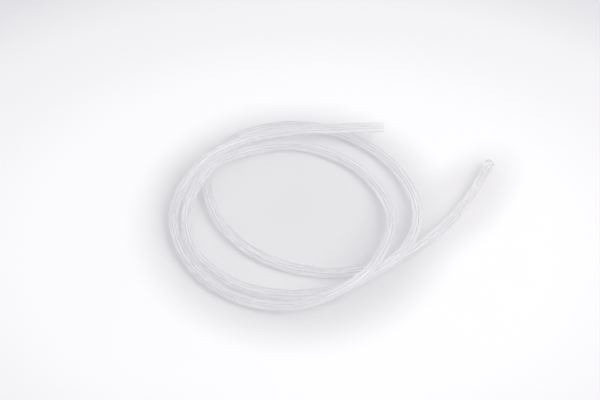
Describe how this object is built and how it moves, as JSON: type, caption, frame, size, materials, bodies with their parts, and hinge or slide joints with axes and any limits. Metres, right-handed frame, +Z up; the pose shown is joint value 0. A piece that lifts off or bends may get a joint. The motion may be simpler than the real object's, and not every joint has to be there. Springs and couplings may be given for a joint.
{
  "type": "silicone tubing coil",
  "caption": "Length of soft translucent silicone tube lying in a loose flat coil, with a fine bore and square-cut open ends that push onto small barbs.",
  "frame": {"origin": "on the surface that the coil lies on, under the middle of its box", "axes": "+X towards the free end that reaches out sideways, +Y towards the raised free end's side, +Z up"},
  "size_m": [0.1614, 0.1262, 0.0146],
  "materials": {
    "silicone": "smooth milky translucent, satin gloss"
  },
  "bodies": {
    "root": {"tube": "silicone"}
  },
  "joints": []
}
